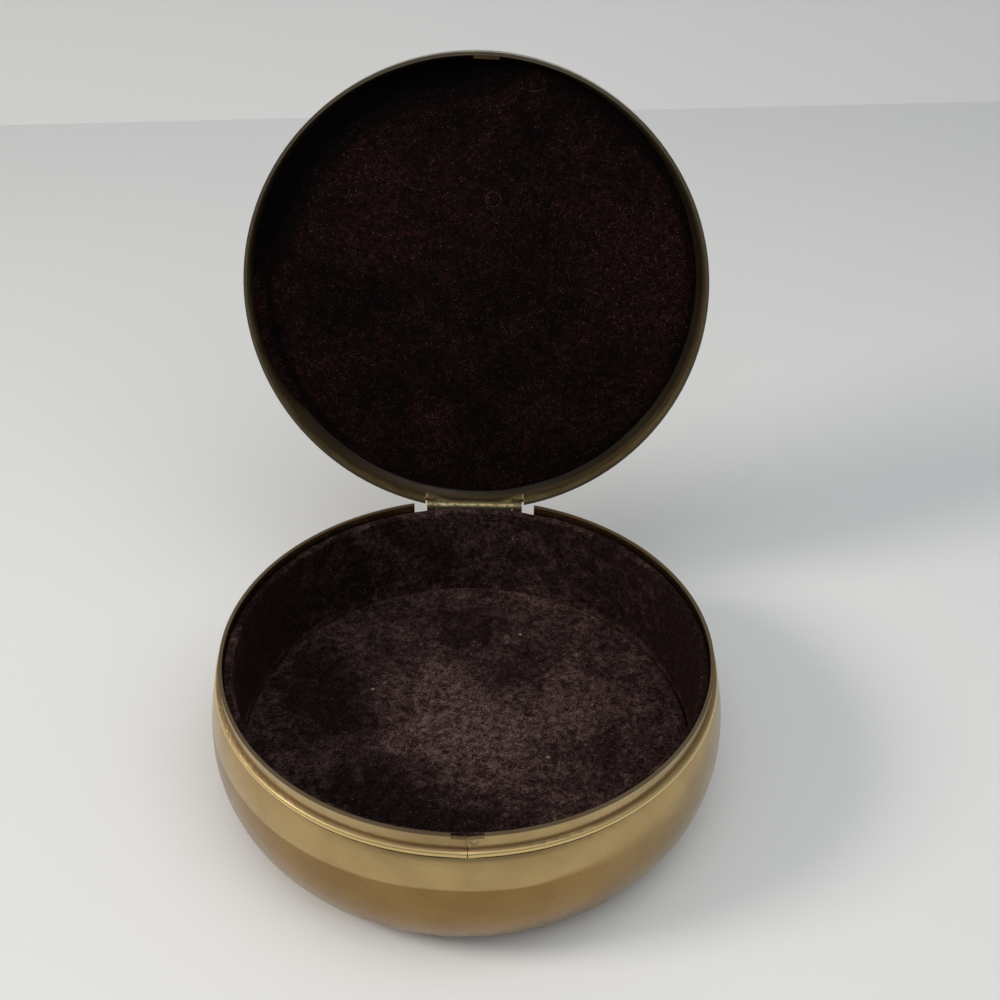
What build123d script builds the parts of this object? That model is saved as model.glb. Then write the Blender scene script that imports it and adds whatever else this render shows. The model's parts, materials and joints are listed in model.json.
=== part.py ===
import math
import os

from build123d import *

os.makedirs("parts", exist_ok=True)

# Overall sizes of the box, in millimetres
collar_outer_radius = 62.5
collar_top_height = 43.0
belly_bulge = 3.4
belly_height = 21.7
foot_radius = 50.5
open_angle = 103.7

# Sheet brass
bowl_sheet = 0.9
collar_sheet = 0.9
lid_sheet = 0.85
solder_clearance = 0.05

# Collar strip and its half round bead
bead_radius = 1.1
bead_drop = 5.2
collar_tail = 3.0
mouth_angle = 69.5
seam_side_angle = 2.0
seam_flat_angle = 5.1
seam_line_width = 0.24
seam_line_depth = 0.3
catch_notch_width = 7.4
catch_notch_depth = 1.0

# Gap left in the collar for the hinge
hinge_gap_half = 17.25
hinge_gap_clearance = 0.4

# Hinge barrel
barrel_radius = 1.5
barrel_half = 13.8
end_knuckle_length = 2.8
knuckle_side_gap = 0.15
pin_radius = 0.6
pin_clearance = 0.05
hinge_reach = 0.6
hinge_drop = 3.0
heel_reach = 0.25
leaf_sheet = 0.7
leaf_half = 14.3
base_leaf_height = 4.0

# Lid strip, closed lid seen in its own frame with the rim at zero
lid_side_gap = 0.45
lid_rim_drop = 3.8
lid_strip_height = 4.8
lid_notch_margin = 0.3
lid_leaf_top = 4.6
lid_leaf_shoulder = 3.0

# Lid dish
lid_shoulder_radius = 3.5
lid_dome_rise = 2.8

# Catch tab inside the lid
catch_width = 6.8
catch_sheet = 0.9
catch_inset = 0.3
catch_gap = 0.3
catch_root_start = 4.2
catch_root_top = 5.1

# Base lining
card_fit = 0.05
wall_card = 1.1
wall_card_gap = 0.3
wall_velvet = 1.0
wall_velvet_drop = 2.0
wall_velvet_fold = 0.9
floor_card = 1.2
floor_padding = 2.9
floor_velvet = 1.1
floor_side_gap = 0.1

# Lid lining
lid_card_side_gap = 2.4
lid_card = 0.9
lid_padding = 0.75
lid_padding_inset = 0.6
lid_velvet = 1.0
lid_velvet_side_gap = 2.15
lid_velvet_turn_start = 150.0
lid_velvet_turn_angle = 90.0
lid_velvet_turn_gap = 0.3
lid_velvet_turn_sheet = 0.7
lid_velvet_cove_reach = 3.0
lid_velvet_cove_bow = 0.5

# Levels and radii that follow from the sizes above
belly_radius = collar_outer_radius + belly_bulge
collar_inner_radius = collar_outer_radius - collar_sheet
bead_height = collar_top_height - bead_drop
bead_centre_radius = collar_outer_radius + 0.25 * collar_sheet
mouth_height = bead_height - bead_radius - solder_clearance
mouth_inner_radius = collar_outer_radius + solder_clearance
hinge_y = collar_outer_radius + hinge_reach
hinge_z = collar_top_height - hinge_drop
gap_floor = hinge_z - barrel_radius - hinge_gap_clearance
lid_inner_radius = collar_outer_radius + lid_side_gap
lid_outer_radius = lid_inner_radius + lid_sheet
lid_card_radius = lid_inner_radius - lid_card_side_gap
lid_velvet_radius = lid_inner_radius - lid_velvet_side_gap
seam_angle = -90.0 + seam_side_angle

# Where the lid's own frame lands when it is swung open about the hinge axis
swing = math.radians(open_angle)
lid_y = Vector(0, math.cos(swing), -math.sin(swing))
lid_z = Vector(0, math.sin(swing), math.cos(swing))
rim_above_axis = collar_top_height - lid_rim_drop - hinge_z
lid_origin = Vector(0, hinge_y, hinge_z) - lid_y * hinge_y + lid_z * rim_above_axis
lid_open = Plane(origin=lid_origin, x_dir=(1, 0, 0), z_dir=lid_z).location
axis_in_lid = -rim_above_axis


def turned(angle):
    t = math.radians(angle)
    return Plane(
        origin=(0, 0, 0),
        x_dir=(math.cos(t), math.sin(t), 0),
        z_dir=(math.sin(t), -math.cos(t), 0),
    )


def collar_profile():
    with Locations((collar_inner_radius + collar_sheet / 2, mouth_height)):
        Rectangle(
            collar_sheet, collar_top_height - mouth_height, align=(Align.CENTER, Align.MIN)
        )
    with Locations((bead_centre_radius, bead_height)):
        Circle(bead_radius)


def ring_piece(inner, outer, centre_x, half):
    Circle(outer)
    Circle(inner, mode=Mode.SUBTRACT)
    with Locations((centre_x, outer)):
        Rectangle(2 * half, outer, mode=Mode.INTERSECT)


# Bowl: a raised shell with a flat foot, a full belly and a drawn-in mouth
inner_belly = belly_radius - bowl_sheet
mouth_cos = math.cos(math.radians(mouth_angle))
neck_centre = (mouth_inner_radius - inner_belly * mouth_cos) / (1 - mouth_cos)
neck_rise = (mouth_height - belly_height) / math.sin(math.radians(mouth_angle))
outer_mouth_angle = math.degrees(
    math.asin((mouth_height - belly_height) / (neck_rise + bowl_sheet))
)
outer_mouth_radius = neck_centre + (belly_radius - neck_centre) * math.cos(
    math.radians(outer_mouth_angle)
)

with BuildPart() as bowl_shell:
    with BuildSketch(Plane.XZ):
        with BuildLine():
            Line((0, 0), (foot_radius, 0))
            EllipticalCenterArc(
                (foot_radius, belly_height),
                belly_radius - foot_radius,
                belly_height,
                start_angle=270,
                arc_size=90,
            )
            EllipticalCenterArc(
                (neck_centre, belly_height),
                belly_radius - neck_centre,
                neck_rise + bowl_sheet,
                start_angle=0,
                arc_size=outer_mouth_angle,
            )
            Line((outer_mouth_radius, mouth_height), (mouth_inner_radius, mouth_height))
            EllipticalCenterArc(
                (neck_centre, belly_height),
                inner_belly - neck_centre,
                neck_rise,
                start_angle=0,
                arc_size=mouth_angle,
            )
            EllipticalCenterArc(
                (foot_radius, belly_height),
                inner_belly - foot_radius,
                belly_height - bowl_sheet,
                start_angle=270,
                arc_size=90,
            )
            Line((foot_radius, bowl_sheet), (0, bowl_sheet))
            Line((0, bowl_sheet), (0, 0))
        make_face()
    revolve(axis=Axis.Z)
bowl_shell.part.label = "bowl_shell"

# Collar: one strip bent round, its straight ends butted in a slight point at the front
flat_run = collar_outer_radius * math.tan(math.radians(seam_flat_angle))
collar_peak = collar_outer_radius / math.cos(math.radians(seam_flat_angle))
with BuildPart() as rim_band:
    with BuildSketch(turned(seam_angle + seam_flat_angle)):
        collar_profile()
    revolve(axis=Axis.Z, revolution_arc=360 - 2 * seam_flat_angle)
    with BuildSketch(turned(seam_angle + seam_flat_angle)):
        collar_profile()
    extrude(amount=flat_run)
    with BuildSketch(turned(seam_angle - seam_flat_angle)):
        collar_profile()
    extrude(amount=-flat_run)
    with BuildSketch(Plane.XY.offset(mouth_height - collar_tail)):
        Circle(collar_outer_radius)
        Circle(collar_inner_radius, mode=Mode.SUBTRACT)
    extrude(amount=collar_tail + bead_radius)
    with BuildSketch(Plane.XY.offset(gap_floor)):
        with Locations((0, collar_outer_radius)):
            Rectangle(2 * hinge_gap_half, collar_outer_radius)
    extrude(amount=hinge_drop + 4 * barrel_radius, mode=Mode.SUBTRACT)
    with BuildSketch(turned(seam_angle)):
        with Locations((collar_peak, collar_top_height)):
            Rectangle(6 * collar_sheet, 2 * catch_notch_depth)
    extrude(amount=catch_notch_width / 2, both=True, mode=Mode.SUBTRACT)
    with BuildSketch(turned(seam_angle)):
        with Locations((collar_peak, collar_top_height)):
            Rectangle(2 * seam_line_depth, 2 * (bead_drop + bead_radius))
    extrude(amount=seam_line_width / 2, both=True, mode=Mode.SUBTRACT)
rim_band.part.label = "rim_band"

# Base half of the hinge: a curved leaf inside the collar with one knuckle at each end
base_leaf_outer = collar_inner_radius - solder_clearance
base_leaf_inner = base_leaf_outer - leaf_sheet
base_leaf_top = gap_floor - hinge_gap_clearance
strap_bottom = hinge_z - barrel_radius
strap_top = strap_bottom + leaf_sheet
knuckle_mid = barrel_half - end_knuckle_length / 2
strap_front = math.sqrt(base_leaf_inner**2 - knuckle_mid**2)
with BuildPart() as base_hinge_leaf:
    with BuildSketch(Plane.XY.offset(base_leaf_top - base_leaf_height)):
        ring_piece(base_leaf_inner, base_leaf_outer, 0, leaf_half)
    extrude(amount=base_leaf_height)
    for side in (-1, 1):
        with BuildSketch(Plane.XY.offset(base_leaf_top - leaf_sheet)):
            ring_piece(
                base_leaf_inner, base_leaf_outer, side * knuckle_mid, end_knuckle_length / 2
            )
        extrude(amount=strap_top - base_leaf_top + leaf_sheet)
        with BuildSketch(Plane.YZ.offset(side * knuckle_mid)):
            with Locations((hinge_y, hinge_z)):
                Circle(barrel_radius)
                Rectangle(
                    barrel_radius + heel_reach,
                    0.85 * barrel_radius,
                    align=(Align.MIN, Align.MAX),
                )
            with Locations((hinge_y, strap_bottom)):
                Rectangle(
                    hinge_y - strap_front, leaf_sheet, align=(Align.MAX, Align.MIN)
                )
            with Locations((hinge_y, hinge_z)):
                Circle(pin_radius, mode=Mode.SUBTRACT)
        extrude(amount=end_knuckle_length / 2, both=True)
base_hinge_leaf.part.label = "base_hinge_leaf"

# Pin held fast in the end knuckles
with BuildPart() as hinge_pin:
    with BuildSketch(Plane.YZ):
        with Locations((hinge_y, hinge_z)):
            Circle(pin_radius)
    extrude(amount=barrel_half, both=True)
hinge_pin.part.label = "hinge_pin"

# Floor of the lining: a card disc resting where the bowl closes in, wadding and velvet
card_radius = collar_inner_radius - wall_card_gap
wall_velvet_outer = card_radius - wall_card
wall_velvet_inner = wall_velvet_outer - wall_velvet
card_seat = card_fit + belly_height - (belly_height - bowl_sheet) * math.sqrt(
    1 - ((card_radius - foot_radius) / (inner_belly - foot_radius)) ** 2
)
floor_card_top = card_seat + floor_card
floor_padding_top = floor_card_top + floor_padding
floor_radius = wall_velvet_inner - floor_side_gap
with BuildPart() as base_floor_card:
    with BuildSketch(Plane.XY.offset(card_seat)):
        Circle(card_radius)
    extrude(amount=floor_card)
base_floor_card.part.label = "base_floor_card"

with BuildPart() as base_floor_padding:
    with BuildSketch(Plane.XY.offset(floor_card_top)):
        Circle(floor_radius)
    extrude(amount=floor_padding)
base_floor_padding.part.label = "base_floor_padding"

with BuildPart() as base_floor_velvet:
    with BuildSketch(Plane.XY.offset(floor_padding_top)):
        Circle(floor_radius)
    extrude(amount=floor_velvet)
    fillet(base_floor_velvet.faces().sort_by(Axis.Z)[-1].edges(), 0.6 * floor_velvet)
base_floor_velvet.part.label = "base_floor_velvet"

# Wall of the lining: a card ring standing on the floor card, velvet glued to its inside
wall_top = collar_top_height - wall_velvet_drop - wall_velvet_fold
leaf_bottom = base_leaf_top - base_leaf_height
with BuildPart() as base_wall_card:
    with BuildSketch(Plane.XY.offset(floor_card_top)):
        Circle(card_radius)
        Circle(wall_velvet_outer, mode=Mode.SUBTRACT)
    extrude(amount=wall_top - floor_card_top)
    with BuildSketch(Plane.XY.offset(leaf_bottom - hinge_gap_clearance)):
        with Locations((0, card_radius)):
            Rectangle(2 * (leaf_half + hinge_gap_clearance), 4 * wall_card + 2 * barrel_radius)
    extrude(amount=wall_top, mode=Mode.SUBTRACT)
base_wall_card.part.label = "base_wall_card"

with BuildPart() as base_wall_velvet:
    with BuildSketch(Plane.XZ):
        with BuildLine():
            Polyline(
                (wall_velvet_inner, floor_card_top),
                (wall_velvet_outer, floor_card_top),
                (wall_velvet_outer, wall_top),
                (card_radius, wall_top),
                (card_radius, wall_top + wall_velvet_fold),
                (wall_velvet_inner, wall_top + wall_velvet_fold),
                (wall_velvet_inner, floor_card_top),
            )
        make_face()
    revolve(axis=Axis.Z)
    fillet(
        base_wall_velvet.edges().filter_by(GeomType.CIRCLE).group_by(Axis.Z)[-1].sort_by(
            SortBy.RADIUS
        )[0],
        0.8 * wall_velvet_fold,
    )
base_wall_velvet.part.label = "base_wall_velvet"

# Lid strip: the turned-down wall of the lid, notched round the hinge barrel
notch_height = axis_in_lid + barrel_radius + lid_notch_margin
with BuildPart() as lid_rim_band:
    with BuildSketch(Plane.XY):
        Circle(lid_outer_radius)
        Circle(lid_inner_radius, mode=Mode.SUBTRACT)
    extrude(amount=lid_strip_height)
    with BuildSketch(Plane.XY):
        with Locations((0, lid_outer_radius)):
            Rectangle(2 * leaf_half, lid_outer_radius)
    extrude(amount=notch_height, mode=Mode.SUBTRACT)
lid_rim_band.part.label = "lid_rim_band"

# Lid dish: a rounded shoulder and a low plain dome soldered on the strip
crown_inner = lid_shoulder_radius - lid_sheet
shoulder_centre = lid_outer_radius - lid_shoulder_radius
shoulder_level = lid_strip_height + lid_sheet / 2
crown_level = shoulder_level + lid_shoulder_radius
dome_radius = (shoulder_centre**2 + lid_dome_rise**2) / (2 * lid_dome_rise)
dome_centre = crown_level + lid_dome_rise - dome_radius
dome_half_angle = math.degrees(math.asin(shoulder_centre / dome_radius))
dome_inner_half_angle = math.degrees(
    math.asin((shoulder_centre - 2 * lid_sheet) / (dome_radius - lid_sheet))
)
dome_inner_edge = (
    shoulder_centre - 2 * lid_sheet,
    dome_centre
    + math.sqrt((dome_radius - lid_sheet) ** 2 - (shoulder_centre - 2 * lid_sheet) ** 2),
)
with BuildPart() as lid_shell:
    with BuildSketch(Plane.XZ):
        with BuildLine():
            Polyline(
                (lid_inner_radius, shoulder_level),
                (lid_inner_radius, lid_strip_height),
                (lid_outer_radius, lid_strip_height),
                (lid_outer_radius, shoulder_level),
            )
            CenterArc((shoulder_centre, shoulder_level), lid_shoulder_radius, 0, 90)
            CenterArc((0, dome_centre), dome_radius, 90 - dome_half_angle, dome_half_angle)
            Line((0, dome_centre + dome_radius), (0, dome_centre + dome_radius - lid_sheet))
            CenterArc(
                (0, dome_centre),
                dome_radius - lid_sheet,
                90 - dome_inner_half_angle,
                dome_inner_half_angle,
            )
            Line(dome_inner_edge, (shoulder_centre, crown_level - lid_sheet))
            CenterArc((shoulder_centre, shoulder_level), crown_inner, 0, 90)
        make_face()
    revolve(axis=Axis.Z)
lid_shell.part.label = "lid_shell"

# Lid half of the hinge: a curved shouldered leaf with one long knuckle
lid_leaf_outer = lid_inner_radius - solder_clearance
lid_leaf_inner = lid_leaf_outer - leaf_sheet
lid_knuckle_half = barrel_half - end_knuckle_length - knuckle_side_gap
neck_bottom = axis_in_lid + barrel_radius - leaf_sheet
plate_back = math.sqrt(lid_leaf_inner**2 - lid_knuckle_half**2)
with BuildPart() as lid_hinge_leaf:
    with BuildSketch(Plane.XY.offset(lid_leaf_shoulder)):
        ring_piece(lid_leaf_inner, lid_leaf_outer, 0, leaf_half)
    extrude(amount=lid_leaf_top - lid_leaf_shoulder)
    with BuildSketch(Plane.XY.offset(neck_bottom)):
        ring_piece(lid_leaf_inner, lid_leaf_outer, 0, lid_knuckle_half)
    extrude(amount=lid_leaf_shoulder - neck_bottom + leaf_sheet / 2)
    with BuildSketch(Plane.XY.offset(neck_bottom)):
        with Locations((0, hinge_y)):
            Rectangle(2 * lid_knuckle_half, hinge_y - plate_back, align=(Align.CENTER, Align.MAX))
        Circle(lid_leaf_inner, mode=Mode.SUBTRACT)
    extrude(amount=leaf_sheet)
    with BuildSketch(Plane.YZ):
        with Locations((hinge_y, axis_in_lid)):
            Circle(barrel_radius)
    extrude(amount=lid_knuckle_half, both=True)
    with BuildSketch(Plane.YZ):
        with Locations((hinge_y, axis_in_lid)):
            Circle(pin_radius + pin_clearance)
    extrude(amount=lid_knuckle_half, both=True, mode=Mode.SUBTRACT)
lid_hinge_leaf.part.label = "lid_hinge_leaf"

# Catch tab: a cranked strip inside the front of the lid that drops in the collar notch
catch_outer = lid_inner_radius - catch_inset
catch_bottom = lid_rim_drop - catch_notch_depth + catch_gap
with BuildPart() as lid_catch_tab:
    with BuildSketch(turned(seam_angle)):
        with Locations((catch_outer, catch_bottom)):
            Rectangle(
                catch_sheet, catch_root_top - catch_bottom, align=(Align.MAX, Align.MIN)
            )
        with Locations((catch_outer, catch_root_start)):
            Rectangle(
                2 * catch_inset, catch_root_top - catch_root_start, align=(Align.CENTER, Align.MIN)
            )
    extrude(amount=catch_width / 2, both=True)
    with BuildSketch(Plane.XY):
        Circle(lid_inner_radius - solder_clearance / 2)
    extrude(amount=2 * crown_level, mode=Mode.INTERSECT)
lid_catch_tab.part.label = "lid_catch_tab"

# Lid lining: card inside the shoulder ring, thin wadding, and velvet turned up the wall at the left
lid_card_top = shoulder_level - card_fit + math.sqrt(
    crown_inner**2 - (lid_card_radius - shoulder_centre) ** 2
)
lid_card_face = lid_card_top - lid_card
lid_padding_face = lid_card_face - lid_padding
lid_velvet_face = lid_padding_face - lid_velvet
with BuildPart() as lid_panel_card:
    with BuildSketch(Plane.XY.offset(lid_card_face)):
        Circle(lid_card_radius)
    extrude(amount=lid_card)
lid_panel_card.part.label = "lid_panel_card"

with BuildPart() as lid_panel_padding:
    with BuildSketch(Plane.XY.offset(lid_padding_face)):
        Circle(lid_card_radius - lid_padding_inset)
    extrude(amount=lid_padding)
lid_panel_padding.part.label = "lid_panel_padding"

turn_outer = lid_inner_radius - solder_clearance
turn_face = lid_rim_drop + lid_velvet_turn_gap
cove_end = (turn_outer - lid_velvet_turn_sheet, turn_face)
cove_start = (cove_end[0] - lid_velvet_cove_reach, lid_velvet_face + 0.3 * lid_velvet)
with BuildPart() as lid_panel_velvet:
    with BuildSketch(Plane.XY.offset(lid_velvet_face)):
        Circle(lid_velvet_radius)
    extrude(amount=lid_velvet)
    fillet(lid_panel_velvet.faces().sort_by(Axis.Z)[0].edges(), 0.6 * lid_velvet)
    with BuildSketch(turned(lid_velvet_turn_start)):
        with BuildLine():
            SagittaArc(cove_start, cove_end, lid_velvet_cove_bow)
            Polyline(
                cove_end,
                (turn_outer, turn_face),
                (turn_outer, shoulder_level),
                (lid_velvet_radius, lid_padding_face - 0.2 * lid_velvet),
                cove_start,
            )
        make_face()
    revolve(axis=Axis.Z, revolution_arc=lid_velvet_turn_angle)
lid_panel_velvet.part.label = "lid_panel_velvet"

# Swing the lid's pieces open together
for lid_piece in (
    lid_rim_band,
    lid_shell,
    lid_hinge_leaf,
    lid_catch_tab,
    lid_panel_card,
    lid_panel_padding,
    lid_panel_velvet,
):
    lid_piece.part.move(lid_open)

export_step(bowl_shell.part, "parts/bowl_shell.step")
export_step(rim_band.part, "parts/rim_band.step")
export_step(base_hinge_leaf.part, "parts/base_hinge_leaf.step")
export_step(hinge_pin.part, "parts/hinge_pin.step")
export_step(base_floor_card.part, "parts/base_floor_card.step")
export_step(base_floor_padding.part, "parts/base_floor_padding.step")
export_step(base_floor_velvet.part, "parts/base_floor_velvet.step")
export_step(base_wall_card.part, "parts/base_wall_card.step")
export_step(base_wall_velvet.part, "parts/base_wall_velvet.step")
export_step(lid_rim_band.part, "parts/lid_rim_band.step")
export_step(lid_shell.part, "parts/lid_shell.step")
export_step(lid_hinge_leaf.part, "parts/lid_hinge_leaf.step")
export_step(lid_catch_tab.part, "parts/lid_catch_tab.step")
export_step(lid_panel_card.part, "parts/lid_panel_card.step")
export_step(lid_panel_padding.part, "parts/lid_panel_padding.step")
export_step(lid_panel_velvet.part, "parts/lid_panel_velvet.step")
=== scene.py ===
import json
import math

import bmesh
import bpy
from mathutils import Matrix, Vector, noise


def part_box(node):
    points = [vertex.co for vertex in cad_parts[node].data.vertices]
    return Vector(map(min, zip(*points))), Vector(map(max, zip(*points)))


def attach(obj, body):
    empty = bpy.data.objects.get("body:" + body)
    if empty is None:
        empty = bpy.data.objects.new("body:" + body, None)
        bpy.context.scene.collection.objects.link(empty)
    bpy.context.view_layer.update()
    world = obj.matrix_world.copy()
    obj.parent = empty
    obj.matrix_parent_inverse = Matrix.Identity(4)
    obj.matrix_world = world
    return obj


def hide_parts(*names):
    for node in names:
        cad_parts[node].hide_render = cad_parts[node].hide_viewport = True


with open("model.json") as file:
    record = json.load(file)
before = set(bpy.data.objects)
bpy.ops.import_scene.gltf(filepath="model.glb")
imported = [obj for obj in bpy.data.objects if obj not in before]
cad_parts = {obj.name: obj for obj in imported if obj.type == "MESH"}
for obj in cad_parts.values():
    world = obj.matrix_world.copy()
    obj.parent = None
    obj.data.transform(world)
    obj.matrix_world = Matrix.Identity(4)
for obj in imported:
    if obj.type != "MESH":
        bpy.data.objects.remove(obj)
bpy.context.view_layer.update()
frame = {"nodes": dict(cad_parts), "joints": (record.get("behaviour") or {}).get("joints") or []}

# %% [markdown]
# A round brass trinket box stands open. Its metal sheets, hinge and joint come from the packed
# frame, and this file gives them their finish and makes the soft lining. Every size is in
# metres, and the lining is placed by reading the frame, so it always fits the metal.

mm = 0.001
for node_name in sorted(frame["nodes"]):
    low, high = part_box(node_name)
    print(node_name, [round(side / mm, 1) for side in high - low], "mm")

# %% [markdown]
# The camera comes first, because everything else is judged through it. A long lens could be
# placed by trial, but here its place and tilt were worked out from the two round rims and the
# hinge, so the ellipses in the picture come out right. The colours use the plain Standard view,
# which keeps dark velvet dark and pale card pale.

# %% Camera
camera_place = Vector((0.00983, -0.26564, 0.28163))
camera_tilt = [math.radians(a) for a in (53.957, -0.597, 0.857)]
camera_lens = bpy.data.cameras.new("camera")
camera_lens.lens = 50.31
camera_lens.sensor_width = 36.0
camera = bpy.data.objects.new("camera", camera_lens)
camera.location = camera_place
camera.rotation_euler = camera_tilt
bpy.context.scene.collection.objects.link(camera)
bpy.context.scene.camera = camera
bpy.context.scene.view_settings.view_transform = "Standard"
print("camera", round(camera_place.length, 3), "m from the foot of the box")

# %% [markdown]
# Shader networks get long, and dragging nodes by hand hides the arithmetic. A small class that
# wraps a socket lets a material read like a formula: adding or multiplying two wires adds the
# Math node that does it, and one method makes any other node. Colours go through a Mix node
# instead, because a Math node would turn them grey.

# %% A wire, so that shader maths reads as Python


class Wire:
    def __init__(self, tree, socket):
        self.tree = tree
        self.socket = socket

    def node(self, kind, settings=None, sockets=None, output=0):
        made = self.tree.nodes.new(kind)
        for name, value in (settings or {}).items():
            setattr(made, name, value)
        for name, value in (sockets or {}).items():
            if isinstance(value, Wire):
                self.tree.links.new(value.socket, made.inputs[name])
            else:
                made.inputs[name].default_value = value
        return Wire(self.tree, made.outputs[output])

    def math(self, operation, *values):
        return self.node("ShaderNodeMath", {"operation": operation}, dict(enumerate(values)))

    def vector(self, operation, *values, output=0):
        return self.node(
            "ShaderNodeVectorMath", {"operation": operation}, dict(enumerate(values)), output
        )

    def __add__(self, other):
        return self.math("ADD", self, other)

    def __mul__(self, other):
        return self.math("MULTIPLY", self, other)

    def __sub__(self, other):
        return self.math("SUBTRACT", self, other)

    def __rsub__(self, other):
        return self.math("SUBTRACT", other, self)

    def __abs__(self):
        return self.math("ABSOLUTE", self)

    __radd__ = __add__
    __rmul__ = __mul__

    def part(self, axis):
        return self.node("ShaderNodeSeparateXYZ", None, {"Vector": self}, "XYZ".index(axis))

    def mix(self, first, second, blend="MIX"):
        """A colour from first where this wire is 0 to second, or its product, where it is 1."""
        settings = {"data_type": "RGBA", "blend_type": blend}
        return self.node("ShaderNodeMix", settings, {0: self, 6: first, 7: second}, 2)


print("a wire can", [name for name in vars(Wire) if not name.startswith("_")])

# %% [markdown]
# A mask is a wire that is 1 where something shows and 0 elsewhere. Wear follows the shape of the
# object, so four masks of place are enough for it: a step, a band, a distance from the upright
# axis and a soft round patch. They use a smooth step, because a hard edge would look printed.

# %% Masks of place


def between(wire, low, high):
    """0 below low, 1 above high, and a smooth step from one to the other."""
    return wire.node(
        "ShaderNodeMapRange",
        {"interpolation_type": "SMOOTHSTEP"},
        {"Value": wire, "From Min": low, "From Max": high, "To Min": 0.0, "To Max": 1.0},
    )


def band(wire, middle, half):
    """1 at middle, fading to 0 at half away from it on both sides."""
    return 1 - between(abs(wire - middle), 0.0, half)


def from_axis(points):
    """How far a point lies from the upright axis of the box."""
    flat = points.vector("MULTIPLY", points, (1, 1, 0))
    return points.vector("LENGTH", flat, output="Value")


def near(points, centre, radius):
    """A soft round patch: 1 at centre, fading to 0 at radius. Both are in millimetres."""
    away = points.vector("DISTANCE", points, [c * mm for c in centre], output="Value")
    return 1 - between(away, 0.0, radius * mm)


print("masks ready, a round patch 2 mm wide is near(points, centre, 1)")

# %% [markdown]
# Age has no clear shape, so it comes from noise. One helper makes every noise and takes the size
# of its patches in metres, which keeps stains, scratches and tufts at their real scale. Noise
# that is stretched along one axis makes scratches, and points that are pushed about by another
# noise make strokes that curl.

# %% Patterns of age and fibre


def cloud(points, size, detail=2.0, rough=0.5, stretch=(1, 1, 1), output=0):
    """Noise whose patches are about size metres across, longer where stretch is over 1."""
    spread = points.vector("MULTIPLY", points, [1 / (size * s) for s in stretch])
    return points.node(
        "ShaderNodeTexNoise",
        None,
        {"Vector": spread, "Scale": 1.0, "Detail": detail, "Roughness": rough},
        output,
    )


def warped(points, size, reach):
    """The same points pushed about by up to reach, so that straight strokes curl."""
    push = cloud(points, size, output=1)
    return points.vector("MULTIPLY_ADD", push, [2 * reach] * 3, points)


def specks(points, size, share):
    """Small round specks: 1 at a speck's middle, 0 over the rest of the surface."""
    away = points.node(
        "ShaderNodeTexVoronoi", None, {"Vector": points, "Scale": 1 / size}, "Distance"
    )
    return 1 - between(away, 0.5 * share, share)


print("patterns ready, from", 0.25 * mm, "m tufts to", 16 * mm, "m stains")

# %% [markdown]
# Each material begins in the same way: a main shader, a few constants that are set straight on
# its sockets, and a wire that carries the object's own points. Object points don't slide when a
# piece moves, which is why no pattern here reads anything else. Colours are written as they are
# seen on a screen and turned into the linear numbers that light is counted in.

# %% Colours and an empty finish


def srgb(red, green, blue):
    """A colour as it is seen, 0 to 255, turned into the linear numbers that shaders use."""
    return [((c / 255 + 0.055) / 1.055) ** 2.4 for c in (red, green, blue)] + [1.0]


def finish(name, constants):
    """An empty material: (material, its shader, a wire of the object's points)."""
    material = bpy.data.materials.new(name)
    material.use_nodes = True
    tree = material.node_tree
    shader = tree.nodes["Principled BSDF"]
    for socket, value in constants.items():
        shader.inputs[socket].default_value = value
    start = Wire(tree, None).node("ShaderNodeTexCoord", None, None, "Object")
    return material, shader, start


def feed(shader, socket, wire):
    """Links a wire to one socket of a shader."""
    wire.tree.links.new(wire.socket, shader.inputs[socket])


def bump(height, depth, strength=1.0, over=None):
    """A normal that makes height look up to depth metres deep, on top of another bump."""
    sockets = {"Height": height, "Distance": depth, "Strength": strength}
    if over:
        sockets["Normal"] = over
    return height.node("ShaderNodeBump", None, sockets)


print("mid grey is", round(srgb(128, 128, 128)[0], 3), "in linear light")

# %% [markdown]
# Several finishes lie in the lid, which is swung back. A pattern such as rings round the
# lid is simplest to think of with the lid shut, so this cell works out the turn that opens a
# shut lid from the hinge's own place and range, and its opposite for textures.

# %% The lid's swing, read from the hinge
hinge = frame["joints"][0]
hinge_point = Vector(hinge["pos_m"])
open_turn = math.radians(hinge["range_deg"][1])
shut_to_open = (
    Matrix.Translation(hinge_point)
    @ Matrix.Rotation(-open_turn, 4, "X")
    @ Matrix.Translation(-hinge_point)
)
open_to_shut = shut_to_open.inverted()


def shut_box(node):
    """Lowest and highest corner of a lid node as it would lie with the lid shut."""
    points = [open_to_shut @ v.co for v in frame["nodes"][node].data.vertices]
    low = Vector(min(p[k] for p in points) for k in range(3))
    high = Vector(max(p[k] for p in points) for k in range(3))
    return low, high


def lid_points(start):
    """The same points as if the lid were shut, so that rings and bands stay round it."""
    return start.node(
        "ShaderNodeMapping",
        {"vector_type": "TEXTURE"},
        {
            "Vector": start,
            "Location": shut_to_open.translation,
            "Rotation": (-open_turn, 0.0, 0.0),
        },
    )


rim_level = shut_box("lid_rim_band")[0].z
collar_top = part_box("rim_band")[1].z
print("shut lid rim at", round(rim_level / mm, 2), "mm, collar top at", round(collar_top / mm, 2))

# %% [markdown]
# Old brass is never one colour. The sheet was turned and polished on a lathe, so its scratches
# run round it, and then it aged unevenly. One function makes every brass finish from a few
# choices, so the pieces look like one metal, and each piece adds its own wear and its painted
# light and shade. A wear function gives back the colour, the roughness and how dull the metal is.

# %% Brass
pit_brown = srgb(52, 38, 24)


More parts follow.
